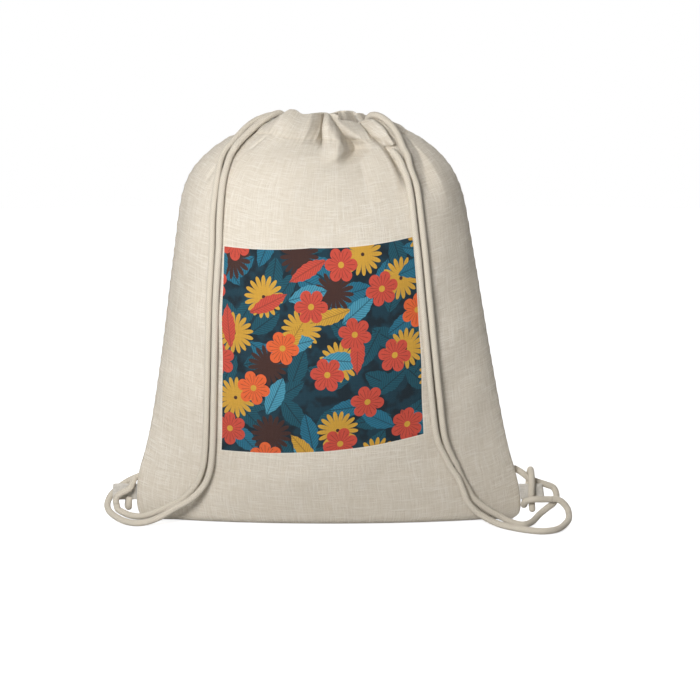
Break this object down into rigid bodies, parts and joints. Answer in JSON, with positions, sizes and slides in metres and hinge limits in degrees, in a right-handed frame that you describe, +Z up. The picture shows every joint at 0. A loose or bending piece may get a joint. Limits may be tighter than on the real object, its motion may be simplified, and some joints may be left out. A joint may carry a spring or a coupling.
{
  "type": "drawstring backpack",
  "caption": "Drawstring rucksack of linen-look cloth, filled out and standing, with cord straps knotted to side tabs.",
  "frame": {"origin": "on the floor, at the middle of the bag's base", "axes": "+X to the right along the bag's width, -Y to the front where the cord straps run, +Z up to the mouth"},
  "size_m": [0.4711, 0.1509, 0.4111],
  "materials": {
    "linen_cloth": "natural slubbed plain weave, matte",
    "cotton_cord": "soft braided cotton, matte"
  },
  "bodies": {
    "root": {"front_panel": "linen_cloth", "back_panel": "linen_cloth", "tab_left": "linen_cloth", "tab_right": "linen_cloth", "cord_left_outer": "cotton_cord", "cord_left_inner": "cotton_cord", "knot_left": "cotton_cord", "cord_right_outer": "cotton_cord", "cord_right_inner": "cotton_cord", "knot_right": "cotton_cord"}
  },
  "joints": []
}
